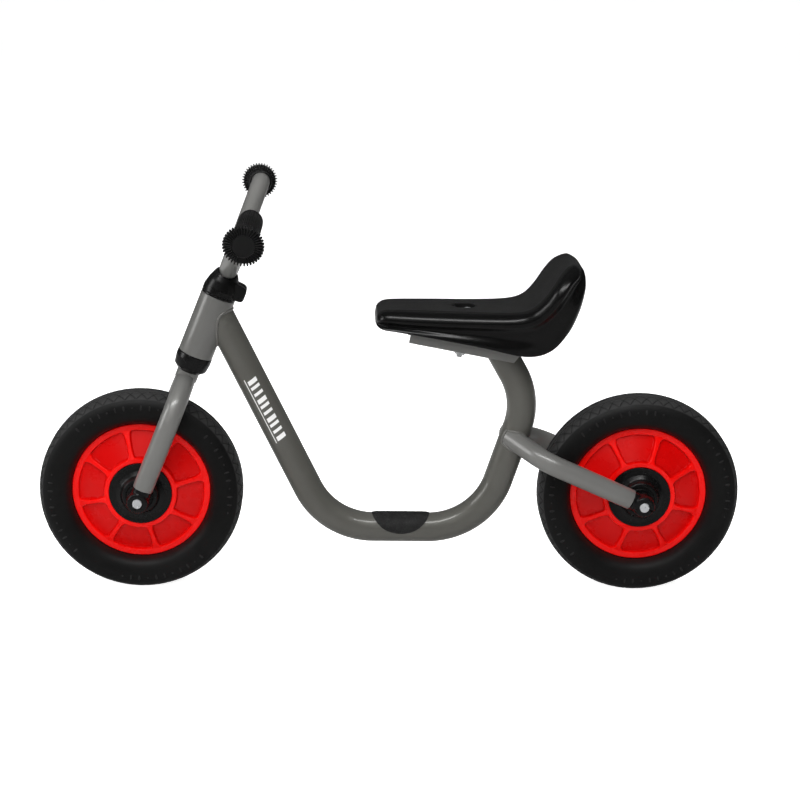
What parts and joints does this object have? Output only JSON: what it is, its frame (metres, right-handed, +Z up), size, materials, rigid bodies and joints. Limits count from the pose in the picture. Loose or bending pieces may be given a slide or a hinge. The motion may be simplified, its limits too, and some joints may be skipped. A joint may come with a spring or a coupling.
{
  "type": "balance bike",
  "caption": "Child's balance bike: a bent-tube step-through frame, solid-tyred wheels with ribbed red rims, a steered fork, V-shaped handlebar and moulded saddle.",
  "frame": {"origin": "on the ground, midway between the two axles, on the centre plane", "axes": "+X forward, +Y to the rider's left, +Z up"},
  "size_m": [0.7624, 0.4058, 0.4401],
  "materials": {
    "frame_paint": "satin grey metallic paint on steel tube",
    "fork_paint": "satin silver-grey metallic paint on steel tube",
    "red_plastic": "glossy red moulded plastic",
    "black_plastic": "satin black moulded plastic",
    "tyre_rubber": "matt black solid tyre",
    "grip_rubber": "matt black grip rubber",
    "grit": "black grit anti-slip film",
    "saddle_skin": "glossy black moulded skin",
    "zinc": "zinc-plated steel",
    "bearing_steel": "ground bearing steel"
  },
  "bodies": {
    "frame": {"main_tube": "frame_paint", "head_tube": "frame_paint", "rear_stay_left": "fork_paint", "rear_stay_right": "fork_paint", "seat_bracket": "fork_paint", "foot_pad": "grit", "head_bushing_lower": "black_plastic", "head_bushing_upper": "black_plastic", "saddle": "saddle_skin", "seat_bolt": "zinc", "seat_washer": "zinc", "seat_nut": "zinc", "rear_axle": "zinc", "rear_bearing_spacer": "zinc", "rear_axle_sleeve_left": "zinc", "rear_axle_sleeve_right": "zinc", "rear_axle_plug_left": "black_plastic", "rear_axle_plug_right": "black_plastic"},
    "steering": {"fork_tube": "fork_paint", "steerer_tube": "fork_paint", "handlebar": "fork_paint", "handlebar_stem": "fork_paint", "clamp_cap": "black_plastic", "clamp_bolt": "zinc", "clamp_nut": "zinc", "grip_left": "grip_rubber", "grip_right": "grip_rubber", "front_axle": "zinc", "front_bearing_spacer": "zinc", "front_axle_sleeve_left": "zinc", "front_axle_sleeve_right": "zinc", "front_axle_plug_left": "black_plastic", "front_axle_plug_right": "black_plastic"},
    "front_wheel": {"front_tyre": "tyre_rubber", "front_rim_left": "red_plastic", "front_rim_right": "red_plastic", "front_hub_cap_left": "black_plastic", "front_hub_cap_right": "black_plastic", "front_bearing_left": "bearing_steel", "front_bearing_right": "bearing_steel"},
    "rear_wheel": {"rear_tyre": "tyre_rubber", "rear_rim_left": "red_plastic", "rear_rim_right": "red_plastic", "rear_hub_cap_left": "black_plastic", "rear_hub_cap_right": "black_plastic", "rear_bearing_left": "bearing_steel", "rear_bearing_right": "bearing_steel"}
  },
  "joints": [
    {"name": "steering", "type": "hinge", "parent": "frame", "child": "steering", "pos_m": [0.27125, 0, 0.11], "axis": [-0.3649, 0, 0.9311], "range_deg": [-60, 60]},
    {"name": "front_wheel_spin", "type": "hinge", "parent": "steering", "child": "front_wheel", "pos_m": [0.27125, 0, 0.11], "axis": [0, 1, 0], "continuous": true},
    {"name": "rear_wheel_spin", "type": "hinge", "parent": "frame", "child": "rear_wheel", "pos_m": [-0.27125, 0, 0.11], "axis": [0, 1, 0], "continuous": true}
  ]
}
